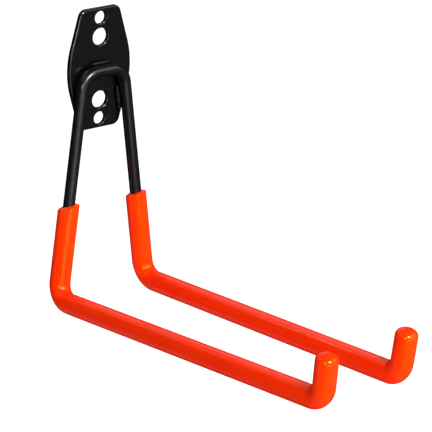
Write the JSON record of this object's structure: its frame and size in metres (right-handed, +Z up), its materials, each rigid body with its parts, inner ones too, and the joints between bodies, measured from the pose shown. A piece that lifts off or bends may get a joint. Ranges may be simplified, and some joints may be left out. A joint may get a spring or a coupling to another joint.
{
  "type": "double-arm wall storage hook",
  "caption": "Wall hook for hanging a bicycle by its frame: a stamped backplate carries a bent round rod whose two long sleeved arms end in upturned tips.",
  "frame": {"origin": "centre of the wall plate's back face, on the wall", "axes": "+Y points into the wall, so the arms reach along -Y; +Z is up the wall; +X is to the right as seen from the front"},
  "size_m": [0.0848, 0.2853, 0.2029],
  "materials": {
    "plate_coating": "black powder coat over stamped steel, satin with a fine orange-peel texture",
    "rod_coating": "black powder coat over round steel bar, satin",
    "weld_coating": "black powder coat over a rippled weld bead",
    "sleeve_plastic": "glossy orange soft plastic, smooth moulded skin"
  },
  "bodies": {
    "root": {"wall_plate": "plate_coating", "hook_rod": "rod_coating", "left_sleeve": "sleeve_plastic", "right_sleeve": "sleeve_plastic", "top_weld": "weld_coating", "left_weld": "weld_coating", "right_weld": "weld_coating"}
  },
  "joints": []
}
